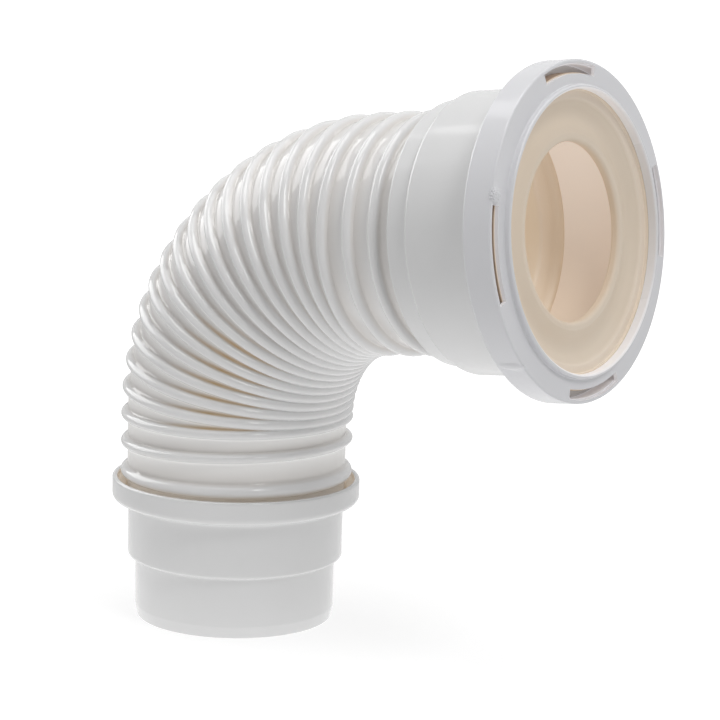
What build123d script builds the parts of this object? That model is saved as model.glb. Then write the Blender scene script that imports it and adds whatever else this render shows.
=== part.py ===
from build123d import *
import os
from math import cos, radians, sin

# Flexible toilet pan connector, in millimetres.
# The origin is on the spigot's axis, level with the underside of its collar, where a drain socket stops.
# +Z is up and the pan side faces +X.

# Outlet spigot
drain_diameter = 93
drain_length = 28.5
sleeve_diameter = 100
sleeve_length = 26.5
collar_height = 11
spigot_wall = 2.5
lead_in_length = 5.5
lead_in_depth = 1
step_edge = 1.2
collar_edge = 2.2

# How the hose is held at both ends: a rim round it and a nipple inside it
rim_clearance = 1.3
rim_wall = 2.5
pocket_floor = 2.5
pocket_clearance = 0.8
pocket_land = 3.7
pocket_mouth = 2.4
nipple_length = 14
nipple_wall = 2.7
nipple_clearance = 0.3

# Hose: its bend, then its ribs
riser_height = 40.2
bend_radius = 92.5
bend_angle = 83.8
run_length = 37.7
crest_diameter = 107.4
rib_depth = 3.3
hose_wall = 2.4
rib_pitch = 13.4
rib_foot_share = 0.27
bend_rib_steps = 15
riser_ribs = 2
run_ribs = 2
ribs_per_bore_span = 3

# Pan socket, from the hose side to its flange
cuff_length = 10.9
cuff_step_length = 2
body_diameter = 122
body_length = 35.9
body_wall = 3
flange_diameter = 139.4
flange_thickness = 4

# Seal cap
cap_plate = 1.7
cap_edge = 1.2
cap_clearance = 0.3
skirt_wall = 2.1
lip_diameter = 123.2
lip_wall = 1.9
lip_height = 2.7
slot_count = 4
slot_width = 4.6
slot_bite = 0.6
slot_angle = 34
slot_turn = 2.5
tab_reach = 2.6
tab_thickness = 1.8

# Lip seal
seal_rim_inset = 3.1
seal_rim_thickness = 5.7
seal_lip_clearance = 0.3
seal_recess = 3.1
seal_ring_width = 3.4
seal_ring_step = 0.9
seal_dish_depth = 2.4
seal_dish_flat = 5.2
seal_membrane = 3
seal_hole_diameter = 76
seal_hole_edge = 1.6
seal_hole_land = 2.6
seal_hole_rim = 2
seal_sleeve_clearance = 0.3
seal_sleeve_wall = 3.2
seal_sleeve_length = 34.6

# Radii and levels of the hose joints
crest_radius = crest_diameter / 2
valley_radius = crest_radius - rib_depth
hose_bore_radius = valley_radius - hose_wall
rim_radius = crest_radius + rim_clearance
pocket_radius = valley_radius + pocket_clearance
collar_radius = rim_radius + rim_wall
nipple_radius = hose_bore_radius - nipple_clearance
nipple_bore_radius = nipple_radius - nipple_wall

# Radii and levels of the spigot
drain_radius = drain_diameter / 2
sleeve_radius = sleeve_diameter / 2
spigot_bore_radius = drain_radius - spigot_wall
drain_end = -sleeve_length - drain_length

# Stations along the hose's centre line, counted from the origin
bend_length = bend_radius * radians(bend_angle)
bend_end = riser_height + bend_length
cuff_station = bend_end + run_length
web_level = cuff_length + cuff_step_length
socket_pocket = web_level - pocket_floor


def spine_plane(station):
    """Cross-section plane of the hose at a station on its centre line."""
    turned = min(max(station - riser_height, 0), bend_length)
    angle = turned / bend_radius
    beyond = max(station - bend_end, 0)
    x = bend_radius * (1 - cos(angle)) + beyond * sin(angle)
    z = min(station, riser_height) + bend_radius * sin(angle) + beyond * cos(angle)
    return Plane(origin=(x, 0, z), x_dir=(cos(angle), 0, -sin(angle)), z_dir=(sin(angle), 0, cos(angle)))


# Outlet spigot: two push-in diameters, a collar and the nipple inside the hose
with BuildPart() as outlet_spigot:
    with BuildSketch(Plane.XZ):
        with BuildLine():
            Polyline(
                (spigot_bore_radius, drain_end),
                (drain_radius - lead_in_depth, drain_end),
                (drain_radius, drain_end + lead_in_length),
                (drain_radius, -sleeve_length),
                (sleeve_radius - step_edge, -sleeve_length),
                (sleeve_radius, -sleeve_length + step_edge),
                (sleeve_radius, 0),
                (collar_radius - collar_edge, 0),
                (collar_radius, collar_edge),
                (collar_radius, collar_height),
                (rim_radius, collar_height),
                (rim_radius, collar_height - pocket_mouth),
                (pocket_radius, pocket_floor + pocket_land),
                (pocket_radius, pocket_floor),
                (nipple_radius, pocket_floor),
                (nipple_radius, pocket_floor + nipple_length),
                (nipple_bore_radius, pocket_floor + nipple_length),
                (nipple_bore_radius, 0),
                (spigot_bore_radius, 0),
                close=True,
            )
        make_face()
    revolve(axis=Axis.Z)

outlet_spigot.part.label = "outlet_spigot"

# Stations of the rib crests: the riser, the bend, then the run to the socket
riser_crests = [riser_height - rib_pitch * step for step in range(riser_ribs, 0, -1)]
bend_crests = [riser_height + bend_length * step / bend_rib_steps for step in range(bend_rib_steps + 1)]
run_crests = [bend_end + rib_pitch * step for step in range(1, run_ribs + 1)]
crests = riser_crests + bend_crests + run_crests

# Flexible hose: each rib rises from a flat membrane to its crest and falls back to the next membrane
with BuildPart() as flexible_hose:
    with BuildSketch(spine_plane(pocket_floor)):
        Circle(valley_radius)
    for index, crest in enumerate(crests):
        before = crest - crests[index - 1] if index > 0 else rib_pitch
        after = crests[index + 1] - crest if index < len(crests) - 1 else rib_pitch
        with BuildSketch(spine_plane(crest - before * rib_foot_share)):
            Circle(valley_radius)
        with BuildSketch(spine_plane(crest)):
            Circle(crest_radius)
        with BuildSketch(spine_plane(crest + after * rib_foot_share)):
            Circle(valley_radius)
    with BuildSketch(spine_plane(cuff_station + socket_pocket)):
        Circle(valley_radius)
    loft(ruled=True)

    # The smooth bore, in short straight spans round the bend
    with BuildSketch(spine_plane(pocket_floor)):
        Circle(hose_bore_radius)
    for crest in bend_crests[::ribs_per_bore_span]:
        with BuildSketch(spine_plane(crest)):
            Circle(hose_bore_radius)
    with BuildSketch(spine_plane(cuff_station + socket_pocket)):
        Circle(hose_bore_radius)
    loft(ruled=True, mode=Mode.SUBTRACT)

flexible_hose.part.label = "flexible_hose"

# Frame of the pan end: its levels are counted along its axis from the back of the cuff
cuff_plane = spine_plane(cuff_station)
pan_axis = Axis(cuff_plane.origin, cuff_plane.z_dir)
pan_section = Plane(origin=cuff_plane.origin, x_dir=-cuff_plane.x_dir, z_dir=(0, 1, 0))
pan_face = Plane(origin=cuff_plane.origin, x_dir=-cuff_plane.x_dir, z_dir=cuff_plane.z_dir)

body_radius = body_diameter / 2
cavity_radius = body_radius - body_wall
flange_radius = flange_diameter / 2
flange_back = web_level + body_length
flange_front = flange_back + flange_thickness

# Pan socket: a cuff and nipple for the hose, the body and the front flange
with BuildPart() as pan_socket:
    with BuildSketch(pan_section):
        with BuildLine():
            Polyline(
                (nipple_bore_radius, socket_pocket - nipple_length),
                (nipple_radius, socket_pocket - nipple_length),
                (nipple_radius, socket_pocket),
                (rim_radius, socket_pocket),
                (rim_radius, 0),
                (collar_radius, 0),
                (collar_radius, cuff_length),
                (body_radius, web_level),
                (body_radius, flange_back),
                (flange_radius, flange_back),
                (flange_radius, flange_front),
                (cavity_radius, flange_front),
                (cavity_radius, web_level),
                (nipple_bore_radius, web_level),
                close=True,
            )
        make_face()
    revolve(axis=pan_axis)

pan_socket.part.label = "pan_socket"

# The cap fits round the flange, hooks behind it and holds the seal's rim against its front
skirt_radius = flange_radius + cap_clearance
cap_radius = skirt_radius + skirt_wall
lip_radius = lip_diameter / 2
lip_bore_radius = lip_radius - lip_wall
cap_back = flange_back - tab_thickness
cap_inside = flange_front + seal_rim_thickness
cap_face = cap_inside + cap_plate


def slot_arc(inner_radius, outer_radius):
    """Face of one slot-wide arc between two radii, centred on the local X axis."""
    with BuildSketch() as arc_face:
        with BuildLine():
            outer = CenterArc((0, 0), outer_radius, -slot_angle / 2, slot_angle)
            inner = CenterArc((0, 0), inner_radius, -slot_angle / 2, slot_angle)
            Line(outer @ 0, inner @ 0)
            Line(outer @ 1, inner @ 1)
        make_face()
    return arc_face.sketch


slot_outer = skirt_radius + slot_bite
slot_face = slot_arc(slot_outer - slot_width, slot_outer)
tab_face = slot_arc(skirt_radius - tab_reach, skirt_radius + skirt_wall / 2)

# Seal cap: a skirt, a face plate with a raised lip, the slots and a snap tab behind each slot
with BuildPart() as seal_cap:
    with BuildSketch(pan_section):
        with BuildLine():
            Polyline(
                (skirt_radius, cap_back),
                (cap_radius - cap_edge, cap_back),
                (cap_radius, cap_back + cap_edge),
                (cap_radius, cap_face),
                (lip_radius, cap_face),
                (lip_radius, cap_face + lip_height),
                (lip_bore_radius, cap_face + lip_height),
                (lip_bore_radius, cap_inside),
                (skirt_radius, cap_inside),
                close=True,
            )
        make_face()
    revolve(axis=pan_axis)
    with BuildSketch(pan_face.offset(cap_face)):
        with PolarLocations(0, slot_count, start_angle=slot_turn):
            add(slot_face)
    extrude(amount=-cap_plate, mode=Mode.SUBTRACT)
    with BuildSketch(pan_face.offset(cap_back)):
        with PolarLocations(0, slot_count, start_angle=slot_turn):
            add(tab_face)
    extrude(amount=tab_thickness)

seal_cap.part.label = "seal_cap"

# The seal's front ring stands inside the cap's lip, and its sleeve lines the socket
seal_rim_radius = flange_radius - seal_rim_inset
seal_front = cap_face - seal_recess
seal_ring_radius = lip_bore_radius - seal_lip_clearance
dish_level = seal_front - seal_ring_step
dish_outer_radius = seal_ring_radius - seal_ring_width
seal_hole_radius = seal_hole_diameter / 2
hole_edge_radius = seal_hole_radius + seal_hole_edge
dish_inner_radius = hole_edge_radius + seal_hole_rim
dish_centre_radius = (dish_outer_radius + dish_inner_radius) / 2
dish_bottom = dish_level - seal_dish_depth
land_front = dish_level - seal_hole_edge
sleeve_outer = cavity_radius - seal_sleeve_clearance
sleeve_inner = sleeve_outer - seal_sleeve_wall
sleeve_end = flange_front - seal_sleeve_length

# Lip seal: a clamped rim, a dished lip with the hole for the pan outlet, and the sleeve behind it
with BuildPart() as lip_seal:
    with BuildSketch(pan_section):
        with BuildLine():
            Polyline(
                (sleeve_inner, sleeve_end),
                (sleeve_outer, sleeve_end),
                (sleeve_outer, flange_front),
                (seal_rim_radius, flange_front),
                (seal_rim_radius, cap_inside),
                (seal_ring_radius, cap_inside),
                (seal_ring_radius, seal_front),
                (dish_outer_radius, seal_front),
                (dish_outer_radius, dish_level),
                (dish_centre_radius + seal_dish_flat / 2, dish_bottom),
                (dish_centre_radius - seal_dish_flat / 2, dish_bottom),
                (dish_inner_radius, dish_level),
                (hole_edge_radius, dish_level),
                (seal_hole_radius, land_front),
                (seal_hole_radius, land_front - seal_hole_land),
                (sleeve_inner, dish_bottom - seal_membrane),
                close=True,
            )
        make_face()
    revolve(axis=pan_axis)

lip_seal.part.label = "lip_seal"

# One file for each piece
os.makedirs("parts", exist_ok=True)
export_step(outlet_spigot.part, "parts/outlet_spigot.step")
export_step(flexible_hose.part, "parts/flexible_hose.step")
export_step(pan_socket.part, "parts/pan_socket.step")
export_step(seal_cap.part, "parts/seal_cap.step")
export_step(lip_seal.part, "parts/lip_seal.step")
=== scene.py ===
from math import cos, pi, radians, sin, tan

import bmesh
import bpy
from mathutils import Matrix, Vector


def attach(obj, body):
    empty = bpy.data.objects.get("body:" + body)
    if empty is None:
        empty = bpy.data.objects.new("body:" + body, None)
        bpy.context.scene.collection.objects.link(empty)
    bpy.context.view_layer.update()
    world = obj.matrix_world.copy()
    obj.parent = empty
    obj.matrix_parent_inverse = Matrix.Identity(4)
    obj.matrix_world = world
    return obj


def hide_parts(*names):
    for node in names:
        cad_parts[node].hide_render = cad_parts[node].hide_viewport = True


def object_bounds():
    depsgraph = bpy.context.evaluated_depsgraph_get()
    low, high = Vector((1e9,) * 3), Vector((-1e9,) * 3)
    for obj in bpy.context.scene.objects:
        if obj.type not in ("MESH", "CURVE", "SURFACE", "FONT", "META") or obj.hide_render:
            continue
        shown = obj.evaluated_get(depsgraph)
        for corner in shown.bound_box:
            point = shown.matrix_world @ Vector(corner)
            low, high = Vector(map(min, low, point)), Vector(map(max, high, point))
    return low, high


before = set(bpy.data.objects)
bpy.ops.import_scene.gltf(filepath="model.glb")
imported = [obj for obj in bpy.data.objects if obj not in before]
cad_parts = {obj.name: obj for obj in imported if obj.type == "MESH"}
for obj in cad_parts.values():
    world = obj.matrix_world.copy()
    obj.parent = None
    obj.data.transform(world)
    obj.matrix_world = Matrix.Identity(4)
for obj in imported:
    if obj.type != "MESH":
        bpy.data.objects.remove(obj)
cadLow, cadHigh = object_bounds()  # the box of the solids
mm = 0.001  # the dictionaries of the pieces are in millimetres
print("frame loaded:", ", ".join(sorted(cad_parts)))


class Wire:  # a node socket that takes part in sums
    def __init__(self, tree, socket=None):
        self.tree = tree
        self.socket = socket

    def node(self, kind, settings=None, sockets=None, out=0):
        made = self.tree.nodes.new(kind)
        for name, value in (settings or {}).items():
            setattr(made, name, value)
        for key, value in (sockets or {}).items():
            if isinstance(value, Wire):
                self.tree.links.new(value.socket, made.inputs[key])
            else:
                made.inputs[key].default_value = value
        return Wire(self.tree, made.outputs[out] if len(made.outputs) else None)

    def split(self):  # the parts of a vector
        parts = self.node("ShaderNodeSeparateXYZ", sockets={0: self})
        return [Wire(self.tree, output) for output in parts.socket.node.outputs]

    def math(self, operation, *values):
        return self.node("ShaderNodeMath", {"operation": operation}, dict(enumerate(values)))

    def mix(self, factor, first, second):  # two colours
        return self.node("ShaderNodeMix", {"data_type": "RGBA"}, {0: factor, 6: first, 7: second}, 2)

    def __add__(self, other):
        return self.math("ADD", self, other)

    def __sub__(self, other):
        return self.math("SUBTRACT", self, other)

    def __rsub__(self, other):
        return self.math("SUBTRACT", other, self)

    def __mul__(self, other):
        return self.math("MULTIPLY", self, other)

    def __truediv__(self, other):
        return self.math("DIVIDE", self, other)

    def __pow__(self, other):
        return self.math("POWER", self, other)

    def __abs__(self):
        return self.math("ABSOLUTE", self)

    __radd__ = __add__
    __rmul__ = __mul__

    def atLeast(self, low):
        return self.math("MAXIMUM", self, low)

    def atMost(self, high):
        return self.math("MINIMUM", self, high)

    def between(self, low, high):
        return self.atLeast(low).atMost(high)

    def above(self, limit):
        return self.math("GREATER_THAN", self, limit)

    def below(self, limit):
        return self.math("LESS_THAN", self, limit)

    def rounded(self):
        return self.math("ROUND", self)

    def power(self):  # e to this
        return self.math("EXPONENT", self)

    def cosine(self):
        return self.math("COSINE", self)

    def sine(self):
        return self.math("SINE", self)


# materials
black = (0, 0, 0, 1)
white = (1, 1, 1, 1)


def newMaterial(name):
    made = bpy.data.materials.new(name)
    made.use_nodes = True
    made.node_tree.nodes.clear()
    return made, Wire(made.node_tree)


def closeMaterial(wire, shader):
    wire.node("ShaderNodeOutputMaterial", sockets={"Surface": shader})


def objectPlace(wire):
    return wire.node("ShaderNodeTexCoord", out=3)  # the Object output


def stored(wire, name):  # a value kept on the mesh
    return wire.node("ShaderNodeAttribute", {"attribute_name": name}, out=2)


noiseMiddle = 0.5


def speckle(wire, place, scale, detail):  # noise from 0 to 1
    return wire.node("ShaderNodeTexNoise", sockets={"Vector": place, "Scale": scale, "Detail": detail})


def grainBump(wire, place, sizes):
    grain = speckle(wire, place, sizes["grainScale"], sizes["grainDetail"])
    return wire.node("ShaderNodeBump", sockets={
        "Strength": sizes["bump"], "Distance": sizes["bumpDepth"], "Height": grain,
    })


whitePlastic = {
    "name": "whitePlastic",
    "light": (0.82, 0.82, 0.82, 1),
    "dull": (0.78, 0.78, 0.78, 1),
    # painted light inside the hollows: a warm tone and a glow, where the glow mark is
    "inner": (0.80, 0.73, 0.64, 1),
    "glow": (0.138, 0.112, 0.085, 1),
    "cloudScale": 22,
    "cloudDetail": 3,
    "roughLow": 0.09,
    "roughSpread": 0.07,
    "innerRough": 0.35,
    "ior": 1.5,
    "grainScale": 900,
    "grainDetail": 2,
    "bump": 0.02,
    "bumpDepth": 0.0002,
}
capPlastic = dict(
    whitePlastic,
    name="capPlastic",
    light=(0.81, 0.81, 0.835, 1),
    dull=(0.78, 0.78, 0.80, 1),
    # painted light on the lip, the slot walls and the inner skirt: this tone and glow
    inner=(0.78, 0.77, 0.77, 1),
    glow=(0.22, 0.21, 0.215, 1),
)


def makeWhitePlastic(sizes):
    material, wire = newMaterial(sizes["name"])
    place = objectPlace(wire)
    glow = stored(wire, "glow")  # painted light: the hollows glow and take the warm inner tone
    cloud = speckle(wire, place, sizes["cloudScale"], sizes["cloudDetail"])
    closeMaterial(wire, wire.node("ShaderNodeBsdfPrincipled", sockets={
        "Base Color": wire.mix(glow, wire.mix(cloud, sizes["dull"], sizes["light"]), sizes["inner"]),
        "Roughness": cloud * sizes["roughSpread"] + glow * sizes["innerRough"] + sizes["roughLow"],
        "IOR": sizes["ior"],
        "Emission Color": wire.mix(glow, black, sizes["glow"]),
        "Emission Strength": 1.0,
        "Normal": grainBump(wire, place, sizes),
    }))
    return material


hosePlastic = {
    "crest": (0.85, 0.847, 0.845, 1),
    # painted shade and painted glow in the creases
    "paintedFoldShade": (0.43, 0.29, 0.15, 1),
    "foldGlow": (0.12, 0.082, 0.038, 1),
    "foldGape": 0.52,
    "foldSpread": 0.25,
    "foldLow": 5.0,
    # painted shade just above each bead
    "paintedShadeAboveBead": 0.2,
    # painted light just under each bead on the riser
    "paintedRiserLight": (0.14, 0.138, 0.131, 1),
    # painted light in the bore: a warm tone and a glow
    "inside": (0.80, 0.72, 0.62, 1),
    "glow": (0.14, 0.13, 0.11, 1),
    "cloudScale": 30,
    "cloudDetail": 3,
    "roughLow": 0.04,
    "roughSpread": 0.05,
    "innerRough": 0.4,
    "ior": 1.5,
    "grainScale": 700,
    "grainDetail": 2,
    "bump": 0.02,
    "bumpDepth": 0.0002,
}


def makeHosePlastic(sizes):
    material, wire = newMaterial("hosePlastic")
    place = objectPlace(wire)
    slack = stored(wire, "slack")
    climb = stored(wire, "climb")
    low = stored(wire, "low")
    inside = stored(wire, "inside")
    cloud = speckle(wire, place, sizes["cloudScale"], sizes["cloudDetail"])
    gaping = abs(stored(wire, "gape") - sizes["foldGape"]) / sizes["foldSpread"]
    paintedCrease = slack * stored(wire, "crease") * (1 - gaping.atMost(1))  # painted shade in the creases that are neither pulled flat nor shut
    paintedCrease = paintedCrease * (low * sizes["foldLow"]).atMost(1)  # it fades out halfway round the bend
    # painted shade: tan in the creases and a darker tone just above each bead
    crestAndPaintedShade = wire.mix(paintedCrease.atLeast(slack * (1 - climb) * sizes["paintedShadeAboveBead"]), sizes["crest"], sizes["paintedFoldShade"])
    light = wire.mix(slack * climb * low, black, sizes["paintedRiserLight"])  # painted light just under each bead on the riser
    # painted warm glow in the same creases
    light = wire.mix(paintedCrease, light, sizes["foldGlow"])
    # the bore gets a painted warm tone and a painted glow
    closeMaterial(wire, wire.node("ShaderNodeBsdfPrincipled", sockets={
        "Base Color": wire.mix(inside, crestAndPaintedShade, sizes["inside"]),
        "Roughness": cloud * sizes["roughSpread"] + inside * sizes["innerRough"] + sizes["roughLow"],
        "IOR": sizes["ior"],
        "Emission Color": wire.mix(inside, light, sizes["glow"]),
        "Emission Strength": 1.0,
        "Normal": grainBump(wire, place, sizes),
    }))
    return material


sealRubber = {
    "light": (0.86, 0.755, 0.63, 1),
    "deep": (0.82, 0.69, 0.545, 1),
    # painted shade on the rim's edge, deep in the slots
    "rim": (0.45, 0.33, 0.24, 1),
    # painted light on the sleeve and the ring by the cap's lip
    "glow": (0.235, 0.238, 0.25, 1),
    "cloudScale": 26,
    "cloudDetail": 4,
    "roughLow": 0.5,
    "roughSpread": 0.14,
    "ior": 1.45,
    "grainScale": 1200,
    "grainDetail": 2,
    "bump": 0.05,
    "bumpDepth": 0.0002,
}


def makeSealRubber(sizes):
    material, wire = newMaterial("sealRubber")
    place = objectPlace(wire)
    cloud = speckle(wire, place, sizes["cloudScale"], sizes["cloudDetail"])
    face = wire.mix(cloud, sizes["deep"], sizes["light"])
    closeMaterial(wire, wire.node("ShaderNodeBsdfPrincipled", sockets={
        "Base Color": wire.mix(stored(wire, "shade"), face, sizes["rim"]),
        "Roughness": cloud * sizes["roughSpread"] + sizes["roughLow"],
        "IOR": sizes["ior"],
        "Emission Color": wire.mix(stored(wire, "glow"), black, sizes["glow"]),
        "Emission Strength": 1.0,
        "Normal": grainBump(wire, place, sizes),
    }))
    return material


whiteMaterial = makeWhitePlastic(whitePlastic)
capMaterial = makeWhitePlastic(capPlastic)
hoseMaterial = makeHosePlastic(hosePlastic)
rubberMaterial = makeSealRubber(sealRubber)
print("materials made")


# shared shape tools
halfSide = 0.5  # of a grid or a cube before it is bent
turning = {
    "segments": 192,
    "cornerSteps": 6,
    "cornerShare": 0.48,  # of an edge, at most, goes to one corner
    "longRun": 1.2,
    "supportGap": 0.3,
    "sharpAngle": radians(42),
}


def roundCorner(before, corner, after, radius, sizes):
    toBefore = before - corner
    toAfter = after - corner
    half = toBefore.angle(toAfter) / 2
    shortest = min(toBefore.length, toAfter.length)
    reach = min(radius / tan(half), sizes["cornerShare"] * shortest)
    start = corner + toBefore.normalized() * reach
    end = corner + toAfter.normalized() * reach
    bisector = (toBefore.normalized() + toAfter.normalized()).normalized()
    centre = corner + bisector * (reach / cos(half))
    spoke = start - centre
    sweep = pi - 2 * half
    if spoke.x * (end - centre).y < spoke.y * (end - centre).x:
        sweep = -sweep
    steps = sizes["cornerSteps"]
    return [centre + Matrix.Rotation(sweep * step / steps, 2) @ spoke for step in range(steps + 1)]


def roundedOutline(corners, sizes):  # corners are (radius, level, rounding)
    points = [Vector(corner[:2]) for corner in corners]
    outline = []
    for index, corner in enumerate(corners):
        before = points[index - 1]
        after = points[(index + 1) % len(points)]
        outline.extend(roundCorner(before, points[index], after, corner[2], sizes))
    supported = []
    for index, point in enumerate(outline):
        supported.append(point)
        run = outline[(index + 1) % len(outline)] - point
        if run.length > sizes["longRun"]:  # keeps the shading flat along a straight run
            gap = run.normalized() * sizes["supportGap"]
            supported.append(point + gap)
            supported.append(point + run - gap)
    return supported


def lathe(name, corners, sizes):  # a closed ring about Z, in metres
    outline = roundedOutline(corners, sizes)
    shape = bmesh.new()
    rings = []
    for step in range(sizes["segments"]):
        turn = 2 * pi * step / sizes["segments"]
        spoke = Vector((cos(turn), sin(turn), 0))
        rings.append([shape.verts.new((spoke * point.x + Vector((0, 0, point.y))) * mm) for point in outline])
    for step, ring in enumerate(rings):
        following = rings[(step + 1) % len(rings)]
        for index in range(len(ring)):
            near = (index + 1) % len(ring)
            shape.faces.new((ring[index], ring[near], following[near], following[index]))
    bmesh.ops.recalc_face_normals(shape, faces=shape.faces)
    mesh = bpy.data.meshes.new(name)
    shape.to_mesh(mesh)
    shape.free()
    return mesh


def markFaces(mesh, name, rule):  # the rule gives a value at a spot of a face, in millimetres
    mark = mesh.attributes.new(name, "FLOAT", "CORNER")
    for face in mesh.polygons:
        for corner in face.loop_indices:
            spot = mesh.vertices[mesh.loops[corner].vertex_index].co / mm
            mark.data[corner].value = rule(spot.xy.length, spot.z, spot.x, face.normal.z)


def addPiece(name, mesh, material, place, marks=None):
    for mark, rule in (marks or {}).items():
        markFaces(mesh, mark, rule)
    mesh.transform(place)
    mesh.materials.clear()
    mesh.materials.append(material)
    mesh.shade_smooth()
    mesh.set_sharp_from_angle(angle=turning["sharpAngle"])
    piece = bpy.data.objects.new(name, mesh)
    bpy.context.scene.collection.objects.link(piece)
    return piece


def stand(piece, node):  # the piece shows in place of its solid
    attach(piece, "root")
    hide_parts(node)
    print(node, "dressed:", len(piece.data.polygons), "faces")


def newTree(name):
    tree = bpy.data.node_groups.new(name, "GeometryNodeTree")
    tree.interface.new_socket("Geometry", in_out="INPUT", socket_type="NodeSocketGeometry")
    tree.interface.new_socket("Geometry", in_out="OUTPUT", socket_type="NodeSocketGeometry")
    return tree


def treeInputs(tree, values):  # one named input for each size, and their wires
    identifiers = {}
    for name, value in values.items():
        kind = "NodeSocketInt" if isinstance(value, int) else "NodeSocketFloat"
        identifiers[name] = tree.interface.new_socket(name, in_out="INPUT", socket_type=kind).identifier
    source = tree.nodes.new("NodeGroupInput")
    wires = {name: Wire(tree, source.outputs[name]) for name in values}
    return identifiers, wires, Wire(tree, source.outputs["Geometry"])


def closeTree(wire, shape, material):
    shape = wire.node("GeometryNodeRealizeInstances", sockets={"Geometry": shape})
    shape = wire.node("GeometryNodeSetMaterial", sockets={"Geometry": shape, "Material": material})
    wire.node("NodeGroupOutput", sockets={"Geometry": shape})


def aroundAxis(wire, shape, radius, angle, level):  # puts each point of a shape round Z
    point = wire.node("ShaderNodeCombineXYZ", sockets={
        0: radius * angle.cosine(), 1: radius * angle.sine(), 2: level,
    })
    return wire.node("GeometryNodeSetPosition", sockets={"Geometry": shape, "Position": point})


def grow(name, mesh, tree, identifiers, values):  # runs a tree on a mesh and keeps the plain result
    holder = bpy.data.objects.new(name + "Source", mesh)
    bpy.context.scene.collection.objects.link(holder)
    modifier = holder.modifiers.new("shape", "NODES")
    modifier.node_group = tree
    for key, value in values.items():
        modifier[identifiers[key]] = value
    grown = bpy.data.meshes.new_from_object(holder.evaluated_get(bpy.context.evaluated_depsgraph_get()))
    grown.name = name
    bpy.data.objects.remove(holder)
    return grown


# the outlet spigot, with its foot down
spigotCorners = [
    (44, -54.99, 0.7), (45.5, -54.99, 0.6), (46.5, -49.5, 2), (46.5, -26.5, 1.1), (50, -26.5, 2.3),
    (50, 0, 2.6), (57.47, 0, 3), (57.47, 11, 1.1), (55, 11, 1.1), (55, 8.6, 1.5), (51.2, 6.2, 1),
    (51.2, 2.5, 0.3), (47.7, 2.5, 0.3), (47.7, 16.5, 0.5), (45, 16.5, 0.5), (45, 0, 0.3), (44, 0, 0.3),
]
spigotGlow = {
    "boreEnd": 45.2,
    "bore": 1.0,
    "pocketInner": 47.5,
    "pocketOuter": 55.2,
    "pocketFloor": 2.3,
    "pocket": 0.9,
}


# painted light: the bore and the pocket round the hose glow
def spigotLight(radius, level, up, facing):
    if radius < spigotGlow["boreEnd"]:
        return spigotGlow["bore"]
    inPocket = spigotGlow["pocketInner"] < radius < spigotGlow["pocketOuter"]  # painted light in the pocket round the hose
    return spigotGlow["pocket"] if inPocket and level > spigotGlow["pocketFloor"] else 0.0


spigotMesh = lathe("spigot", spigotCorners, turning)
spigot = addPiece("spigot", spigotMesh, whiteMaterial, Matrix.Identity(4), {"glow": spigotLight})
stand(spigot, "outlet_spigot")


# the hose: a tube of round beads with a drawn membrane between them
hoseSizes = {
    "riser": 40.2,
    "bendRadius": 92.5,
    "bendAngle": 83.8,
    "bendSteps": 15,
    "riserRibs": 2,
    "runRibs": 2,
    "pitch": 13.4,
    "startLevel": 2.5,
    "runEnd": 48.1,
    "crest": 53.7,
    "ribDepth": 3.3,
    "beadHalf": 2.6,
    "beadRound": 0.5,
    "footRise": 0.5,
    "footReach": 1.1,
    "seam": 0.4,
    "creaseReach": 1.7,
    "lowReach": 8,
    "bulge": 0.05,
    "bore": 48.0,
    "weld": 0.01,
    "crowding": 0.5,
    "tilt": 4.0,
    "tiltCount": 0.85,
    "tiltSpread": 0.75,
    "columns": 144,
    "rowsPerRib": 28,
    "boreRows": 40,
}
hoseLengths = (
    "riser", "bendRadius", "pitch", "crest", "ribDepth", "beadHalf", "footRise", "footReach",
    "seam", "creaseReach", "bore", "weld", "tilt",
)
hoseShares = (
    "bendSteps", "riserRibs", "beadRound", "lowReach", "bulge", "crowding", "tiltCount", "tiltSpread",
)


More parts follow.
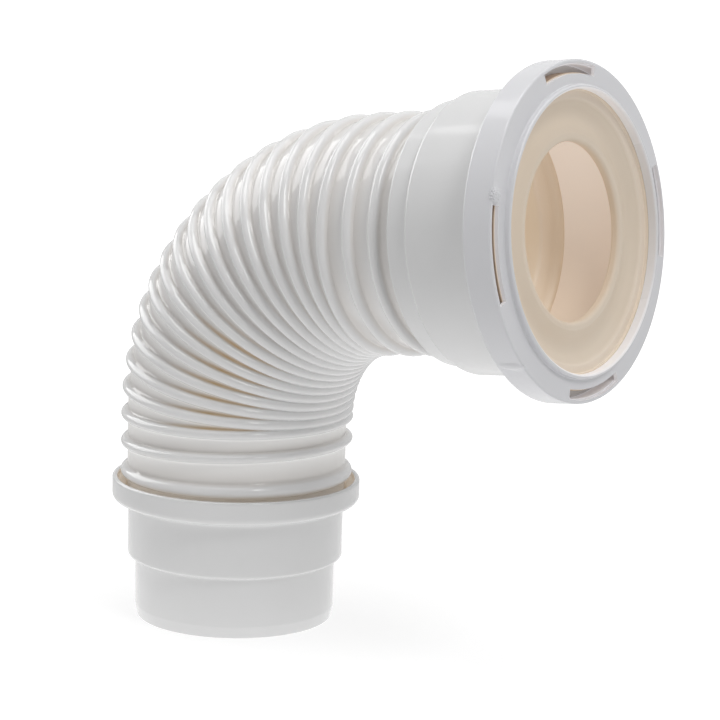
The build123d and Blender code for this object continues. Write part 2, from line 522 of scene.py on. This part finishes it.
def hoseTree(values):
    tree = newTree("ribbedHose")
    identifiers, size = treeInputs(tree, values)[:2]
    wire = Wire(tree)
    rows = size["outerRows"] + size["boreRows"] + 1
    grid = wire.node("GeometryNodeMeshGrid", sockets={
        "Size X": 1.0, "Size Y": 1.0, "Vertices X": size["columns"] + 1, "Vertices Y": rows,
    })
    across, along = wire.node("GeometryNodeInputPosition").split()[:2]
    around = across * (2 * pi)
    lastRow = rows - 1
    row = ((along + halfSide) * lastRow).rounded()

    # rows run up the outside, back down the bore and close on the first
    halfRow = 0.5
    closing = row.above(lastRow - halfRow)
    inside = row.above(size["outerRows"] - halfRow) * (1 - closing)
    outside = 1 - inside
    upShare = row / (size["outerRows"] - 1) * (1 - closing)
    downShare = 1 - (row - size["outerRows"]) / (size["boreRows"] - 1)
    count = size["firstCount"] + (outside * upShare + inside * downShare) * size["countSpan"]

    # rows crowd towards the crests; a crest stands at each whole count
    offset = count - count.rounded()
    ribbed = count.above(0) * count.below(size["lastRib"])
    count = count - ribbed * outside * size["crowding"] * (offset * (2 * pi)).sine() / (2 * pi)
    bendCount = count - size["riserRibs"]
    bent = bendCount.between(0, size["bendSteps"])
    below = bendCount.atMost(0) * size["pitch"]
    beyond = (bendCount - size["bendSteps"]).atLeast(0) * size["pitch"]
    angle = bent * size["bendStep"]

    # how far a point lies from its rib, measured along the wall
    inBend = bendCount.above(0) * bendCount.below(size["bendSteps"])
    wallPitch = (size["bendRadius"] - size["crest"] * around.cosine()) * size["bendStep"]
    localPitch = inBend * wallPitch + (1 - inBend) * size["pitch"]
    rib = count.rounded().between(0, size["lastRib"])
    away = abs(count - rib) * localPitch
    bead = (1 - (away / size["beadHalf"]).atMost(1) ** 2) ** size["beadRound"]
    foot = (1 - ((away - size["beadHalf"]) / size["footReach"]).between(0, 1)) ** 2
    half = (localPitch / 2 - size["beadHalf"]).atLeast(size["weld"])
    drawn = ((away - size["beadHalf"]) / half).between(0, 1)
    swell = half * size["bulge"] * (1 - (1 - drawn) ** 2)
    rise = (size["ribDepth"] * bead).atLeast(size["footRise"] * foot) + swell
    radius = outside * (size["crest"] - size["ribDepth"] + rise) + inside * size["bore"]

    # the lowest ribs lean, because the hose starts to bend below its first fold
    lean = (0 - ((count - size["tiltCount"]) / size["tiltSpread"]) ** 2).power() * size["tilt"] * outside
    x = size["bendRadius"] * (1 - angle.cosine()) + beyond * angle.sine()
    z = size["riser"] + below + size["bendRadius"] * angle.sine() + beyond * angle.cosine()
    spoke = radius * around.cosine()
    point = wire.node("ShaderNodeCombineXYZ", sockets={
        0: x + spoke * angle.cosine(), 1: radius * around.sine(),
        2: z - spoke * angle.sine() + lean * (1 + around.cosine()) / 2,
    })

    # what the hose's material needs to know at each point
    over = (count - rib + count.below(rib)) * localPitch - size["beadHalf"]  # how far the bead below is
    marks = {
        "slack": ((away - size["beadHalf"]) / size["seam"] + 1).between(0, 1),  # 0 on a bead
        "climb": (over / (half * 2)).between(0, 1),  # 0 just above a bead, 1 under the next one
        "crease": 1 - (over / size["creaseReach"]).between(0, 1),
        "gape": localPitch / size["pitch"],
        "low": (1 - (bendCount / size["lowReach"]).between(0, 1)) * count.above(0),  # 1 on the riser
        "inside": inside,
    }
    shape = grid
    for name, value in marks.items():
        shape = wire.node("GeometryNodeStoreNamedAttribute", {"data_type": "FLOAT", "domain": "POINT"}, {
            "Geometry": shape, "Name": name, "Value": value,
        })
    shape = wire.node("GeometryNodeSetPosition", sockets={"Geometry": shape, "Position": point})
    shape = wire.node("GeometryNodeMergeByDistance", sockets={"Geometry": shape, "Distance": size["weld"]})
    closeTree(wire, shape, hoseMaterial)
    return tree, identifiers


def makeHose(sizes):
    values = {key: sizes[key] * mm for key in hoseLengths}
    values.update({key: float(sizes[key]) for key in hoseShares})
    ribs = sizes["riserRibs"] + sizes["bendSteps"] + sizes["runRibs"]
    first = sizes["riserRibs"] - (sizes["riser"] - sizes["startLevel"]) / sizes["pitch"]
    last = sizes["riserRibs"] + sizes["bendSteps"] + sizes["runEnd"] / sizes["pitch"]
    values["bendStep"] = radians(sizes["bendAngle"]) / sizes["bendSteps"]
    values["lastRib"] = float(ribs)
    values["firstCount"] = first
    values["countSpan"] = last - first
    values["columns"] = sizes["columns"]
    values["outerRows"] = int((last - first) * sizes["rowsPerRib"])
    values["boreRows"] = sizes["boreRows"]
    tree, identifiers = hoseTree(values)
    mesh = grow("hose", bpy.data.meshes.new("hoseSeed"), tree, identifiers, values)
    shape = bmesh.new()
    shape.from_mesh(mesh)
    bmesh.ops.recalc_face_normals(shape, faces=shape.faces)
    shape.to_mesh(mesh)
    shape.free()
    return mesh


hose = addPiece("hose", makeHose(hoseSizes), hoseMaterial, Matrix.Identity(4))
stand(hose, "flexible_hose")


# the pan end turns about its own axis, with levels counted from the back of the cuff
panEnd = {"run": 37.7}


def panPlace(hoseValues, run):
    angle = radians(hoseValues["bendAngle"])
    along = Vector((sin(angle), 0, cos(angle)))
    up = Vector((-cos(angle), 0, sin(angle)))
    side = along.cross(up)
    level = hoseValues["riser"] + hoseValues["bendRadius"] * sin(angle)
    corner = Vector((hoseValues["bendRadius"] * (1 - cos(angle)), 0, level))
    place = Matrix((up, side, along)).transposed().to_4x4()
    place.translation = (corner + along * run) * mm
    return place


panMatrix = panPlace(hoseSizes, panEnd["run"])
socketCorners = [
    (45, -3.6, 0.5), (47.7, -3.6, 0.5), (47.7, 10.4, 0.3), (55, 10.4, 0.5), (55, 0, 0.9),
    (57.5, 0, 0.9), (57.5, 10.9, 0.6), (61, 10.9, 2.2), (61, 48.8, 0.4), (69.7, 48.8, 0.5),
    (69.7, 52.8, 0.5), (58, 52.8, 0.5), (58, 12.9, 5), (45, 12.9, 2),
]
socketGlow = {"boreEnd": 46.9, "chamberEnd": 58.1, "chamberFloor": 12.0, "inside": 1.0}


# painted light: the bore and the chamber glow
def socketLight(radius, level, up, facing):
    inChamber = radius < socketGlow["chamberEnd"] and level > socketGlow["chamberFloor"]
    return socketGlow["inside"] if inChamber or radius < socketGlow["boreEnd"] else 0.0


socketMesh = lathe("socket", socketCorners, turning)
socket = addPiece("socket", socketMesh, whiteMaterial, panMatrix, {"glow": socketLight})
stand(socket, "pan_socket")


# the cap: a ring with four slots, a snap tab behind each, a gate mark and a ridge across its skirt
capCorners = [
    (70, 47, 0.5), (72.1, 47, 1.6), (72.1, 60.2, 0.9), (61.6, 60.2, 0.6), (61.6, 62.9, 0.95),
    (59.7, 62.9, 0.95), (59.7, 58.5, 0.4), (70, 58.5, 0.6),
]
capSizes = {
    "slotInner": 66,
    "slotOuter": 70.6,
    "slotBack": 58.3,
    "slotFront": 62,
    "tabInner": 67.4,
    "tabOuter": 71,
    "tabBack": 47,
    "tabFront": 48.8,
    "gateRadius": 69.4,
    "gateLevel": 59.9,
    "gateHalf": 3.5,
    "gateDepth": 3.2,
    "gateRise": 1.5,
    "ridgeRadius": 71.6,
    "ridgeLevel": 54.2,
    "ridgeHalf": 2.4,
    "ridgeDepth": 0.95,
    "ridgeRise": 6.4,
}
capAngles = {"turn": 2.5, "span": 34, "gateTurn": 72.3, "ridgeTurn": 133.8}
capCounts = {
    "count": 4,
    "arcSteps": 16,
    "ballSteps": 5,
    "gateGrain": 4.0,
    "gateRough": 0.9,
    "ridgeGrain": 1.0,
    "ridgeRough": 0.0,
    "grainDetail": 2.0,
}
capGlow = {
    "lipRadius": 60,
    "lipEdge": 60.6,
    "lipFloor": 58.6,
    "lipLow": 0.15,
    "lipHigh": 0.85,
    "slotInner": 65.8,
    "slotOuter": 70.8,
    "slotFloor": 58.2,
    "slot": 0.7,
    "wallFacing": 0.5,
    "skirtInner": 69.6,
    "skirtOuter": 70.2,
    "skirtTop": 59,
    "skirtRadius": 70,
    "skirtLow": 0.1,
    "skirtAbove": 1.5,
    "skirtBelow": 0.7,
}


def arcRing(wire, size, part):  # the slots' or the tabs' blocks, bent round the axis
    inner = size[part + "Inner"]
    back = size[part + "Back"]
    cube = wire.node("GeometryNodeMeshCube", sockets={
        "Size": (1, 1, 1), "Vertices X": 2, "Vertices Y": size["arcSteps"], "Vertices Z": 2,
    })
    across, along, upward = wire.node("GeometryNodeInputPosition").split()
    radius = inner + (across + halfSide) * (size[part + "Outer"] - inner)
    level = back + (upward + halfSide) * (size[part + "Front"] - back)
    bent = aroundAxis(wire, cube, radius, along * size["span"], level)
    spots = wire.node("GeometryNodeMeshLine", sockets={"Count": size["count"], "Offset": (0, 0, 0)})
    turned = wire.node("GeometryNodeInputIndex") * (2 * pi) / size["count"] + size["turn"]
    ring = wire.node("GeometryNodeInstanceOnPoints", sockets={
        "Points": spots,
        "Instance": bent,
        "Rotation": wire.node("ShaderNodeCombineXYZ", sockets={2: turned}),
    })
    return wire.node("GeometryNodeRealizeInstances", sockets={"Geometry": ring})


def mound(wire, size, part):  # a rise in the surface: the moulding's rough gate mark or its smooth ridge
    ball = wire.node("GeometryNodeMeshIcoSphere", sockets={"Radius": 1.0, "Subdivisions": size["ballSteps"]})
    spot = wire.node("GeometryNodeInputPosition")
    across, along, upward = spot.split()
    grain = speckle(wire, spot, size[part + "Grain"], size["grainDetail"])
    rough = 1 + (grain - noiseMiddle) * size[part + "Rough"]
    radius = size[part + "Radius"] + across * size[part + "Depth"] * rough
    angle = size[part + "Turn"] + along * size[part + "Half"] / size[part + "Radius"] * rough
    level = size[part + "Level"] + upward * size[part + "Rise"] * rough
    return aroundAxis(wire, ball, radius, angle, level)


def capTree(values):
    tree = newTree("slottedCap")
    identifiers, size, ring = treeInputs(tree, values)
    wire = Wire(tree)
    joined = wire.node("GeometryNodeMeshBoolean", {"operation": "UNION", "solver": "EXACT"})
    for part in (ring, arcRing(wire, size, "tab"), mound(wire, size, "gate"), mound(wire, size, "ridge")):
        tree.links.new(part.socket, joined.socket.node.inputs[1])
    slotted = wire.node("GeometryNodeMeshBoolean", {"operation": "DIFFERENCE", "solver": "EXACT"}, {
        0: joined, 1: arcRing(wire, size, "slot"),
    })
    closeTree(wire, slotted, capMaterial)
    return tree, identifiers


def makeCap(corners, sizes, angles, counts):
    values = {key: value * mm for key, value in sizes.items()}
    values.update({key: radians(value) for key, value in angles.items()})
    values.update(counts)
    tree, identifiers = capTree(values)
    return grow("cap", lathe("capRing", corners, turning), tree, identifiers, values)


def capLight(radius, level, up, facing):
    if radius < capGlow["lipEdge"] and level > capGlow["lipFloor"]:  # painted light on the thin lip, most above and below
        return capGlow["lipLow"] + capGlow["lipHigh"] * (up / capGlow["lipRadius"]) ** 2
    inSlot = capGlow["slotInner"] < radius < capGlow["slotOuter"] and level > capGlow["slotFloor"]
    if inSlot and abs(facing) < capGlow["wallFacing"]:  # painted light on a slot's walls, not the face round it
        return capGlow["slot"]
    # painted light on the skirt's inner wall, more above than below
    if capGlow["skirtInner"] < radius < capGlow["skirtOuter"] and level < capGlow["skirtTop"]:
        share = capGlow["skirtAbove"] if up > 0 else capGlow["skirtBelow"]
        return capGlow["skirtLow"] + share * (up / capGlow["skirtRadius"]) ** 2
    return 0.0


capMesh = makeCap(capCorners, capSizes, capAngles, capCounts)
cap = addPiece("cap", capMesh, capMaterial, panMatrix, {"glow": capLight})
stand(cap, "seal_cap")


# the rubber seal: a clamped rim, a dished lip and the sleeve behind it
sealCorners = [
    (54.5, 18.2, 1.2), (57.7, 18.2, 0.6), (57.7, 52.8, 0.4), (66.6, 52.8, 0.6), (66.6, 58.5, 0.4),
    (59.4, 58.5, 0.4), (59.4, 57.1, 0.4), (56.2, 57.1, 1.0), (54.9, 55.9, 1.2), (48.8, 53.0, 14),
    (41.4, 56.2, 1.6), (38, 56.2, 1.6), (38, 52.2, 0.8), (54.5, 50.8, 1.5),
]
sealGlow = {
    "sleeveRadius": 54,
    "sleeveEnd": 54.6,
    "sleeveTop": 50.9,
    "sleeve": 0.77,
    "sleeveSlope": 0.42,
    "ringInner": 55.6,
    "ringOuter": 59.5,
    "ringFloor": 56.4,
    "ring": 0.2,
    "rimInner": 66.4,
}


def sealLight(radius, level, up, facing):
    if radius < sealGlow["sleeveEnd"] and level < sealGlow["sleeveTop"]:  # painted light on the sleeve, lighter above
        return sealGlow["sleeve"] + sealGlow["sleeveSlope"] * up / sealGlow["sleeveRadius"]
    onRing = sealGlow["ringInner"] < radius < sealGlow["ringOuter"]  # painted light on a thin ring next to the cap's lip
    return sealGlow["ring"] if onRing and level > sealGlow["ringFloor"] else 0.0


def sealShade(radius, level, up, facing):  # painted shade on the rim's edge, deep in the slots
    return 1.0 if radius > sealGlow["rimInner"] else 0.0


sealMesh = lathe("seal", sealCorners, turning)
seal = addPiece("seal", sealMesh, rubberMaterial, panMatrix, {"glow": sealLight, "shade": sealShade})
stand(seal, "lip_seal")


# floor, lights and camera, in metres
stageSizes = {
    "floorHalf": 12.0,
    "floorColor": (0.35, 0.35, 0.35, 1),
    "floorGlow": 0.38,
    "tableGlow": 0.69,
    "tableReach": 0.45,
    "nearSeen": 0.72,
    "farSeen": 1.0,
    "seenReach": 0.9,
    "horizon": 0.18,
    "backdrop": 0.62,
    "leftPanel": 0.2,
    "backdropYaw": 34.8,
    "panelTop": 0.84,
    "panelEdge": 0.06,
    "panelFade": 0.4,
    "panelMiddle": 0.5,
}


def makeFloor(sizes, level):
    half = sizes["floorHalf"]
    mesh = bpy.data.meshes.new("floor")
    corners = [(-half, -half, level), (half, -half, level), (half, half, level), (-half, half, level)]
    mesh.from_pydata(corners, [], [(0, 1, 2, 3)])
    material, wire = newMaterial("paleFloor")
    seen = wire.node("ShaderNodeLightPath")  # camera rays, so that the backdrop reads white
    distance = wire.node("ShaderNodeVectorMath", {"operation": "LENGTH"}, {0: objectPlace(wire)}, 1)
    far = (distance / sizes["seenReach"]).atMost(1)
    table = (1 - (distance / sizes["tableReach"]).atMost(1)) ** 2
    toCamera = far * (sizes["farSeen"] - sizes["nearSeen"]) + sizes["nearSeen"]
    toObject = table * sizes["tableGlow"] + sizes["floorGlow"]
    matt = wire.node("ShaderNodeBsdfDiffuse", sockets={"Color": sizes["floorColor"]})
    lift = wire.node("ShaderNodeEmission", sockets={
        "Color": white, "Strength": seen * toCamera + (1 - seen) * toObject,
    })
    closeMaterial(wire, wire.node("ShaderNodeAddShader", sockets={0: matt, 1: lift}))
    mesh.materials.append(material)
    floor = bpy.data.objects.new("floor", mesh)
    bpy.context.scene.collection.objects.link(floor)


def makeWorld(sizes):
    world = bpy.data.worlds.new("studio")
    world.use_nodes = True
    world.node_tree.nodes.clear()
    wire = Wire(world.node_tree)
    x, y, z = wire.node("ShaderNodeTexCoord").split()
    yaw = radians(sizes["backdropYaw"])
    behind = y * cos(yaw) - x * sin(yaw)  # 1 straight behind the object
    aside = x * cos(yaw) + y * sin(yaw)  # 1 straight to the right
    low = ((sizes["panelTop"] - z) / sizes["panelEdge"]).between(0, 1)
    middle = sizes["panelMiddle"]
    backdrop = (behind / sizes["panelFade"] + middle).between(0, 1) * low
    left = (-middle - aside / sizes["panelFade"]).between(0, 1) * low
    toObject = backdrop * sizes["backdrop"] + left * sizes["leftPanel"] + sizes["horizon"]
    seen = wire.node("ShaderNodeLightPath")  # camera rays, which meet plain white
    sky = wire.node("ShaderNodeBackground", sockets={
        "Color": white, "Strength": seen * sizes["farSeen"] + (1 - seen) * toObject,
    })
    wire.node("ShaderNodeOutputWorld", sockets={"Surface": sky})
    bpy.context.scene.world = world


softboxes = {  # two of them show only in the gloss
    "over": {"place": (0.06, -0.1, 1.5), "wide": 0.8, "tall": 0.8, "power": 6.6, "diffuse": True},
    "pan": {"place": (1.95, -0.6, 2.3), "wide": 1.15, "tall": 1.15, "power": 25.5, "diffuse": True},
    "sheen": {"place": (-1.12, -0.03, 0.78), "wide": 1.1, "tall": 1.0, "power": 9, "diffuse": False},
    "sky": {"place": (0.0, 0.1, 1.4), "wide": 1.5, "tall": 1.1, "power": 8.5, "diffuse": False},
}


def makeSoftbox(name, sizes, target):
    light = bpy.data.lights.new(name, "AREA")
    light.shape = "RECTANGLE"
    light.size = sizes["wide"]
    light.size_y = sizes["tall"]
    light.energy = sizes["power"]
    lamp = bpy.data.objects.new(name, light)
    lamp.location = sizes["place"]
    lamp.rotation_euler = (target - lamp.location).to_track_quat("-Z", "Y").to_euler()
    lamp.visible_diffuse = sizes["diffuse"]
    bpy.context.scene.collection.objects.link(lamp)


viewpoint = {
    "place": (0.72385, -0.94429, 0.28776),
    "yaw": 34.764,
    "pitch": 10.538,
    "roll": 1.517,
    "lens": 130.765,
    "sensor": 36,
    "clip": 100,
}


def makeCamera(sizes):
    yaw = radians(sizes["yaw"])
    pitch = radians(sizes["pitch"])
    forward = Vector((-sin(yaw) * cos(pitch), cos(yaw) * cos(pitch), -sin(pitch)))
    level = Vector((cos(yaw), sin(yaw), 0))
    right = Matrix.Rotation(-radians(sizes["roll"]), 3, forward) @ level
    up = right.cross(forward)
    data = bpy.data.cameras.new("camera")
    data.lens = sizes["lens"]
    data.sensor_width = sizes["sensor"]
    data.clip_end = sizes["clip"]
    camera = bpy.data.objects.new("camera", data)
    turn = Matrix((right, up, -forward)).transposed().to_4x4()
    camera.matrix_world = Matrix.Translation(sizes["place"]) @ turn
    bpy.context.scene.collection.objects.link(camera)
    bpy.context.scene.camera = camera


makeFloor(stageSizes, cadLow.z)
makeWorld(stageSizes)
for boxName, boxSizes in softboxes.items():
    makeSoftbox(boxName, boxSizes, (cadLow + cadHigh) / 2)
makeCamera(viewpoint)
bpy.context.scene.view_settings.view_transform = "Standard"
print("stage set")
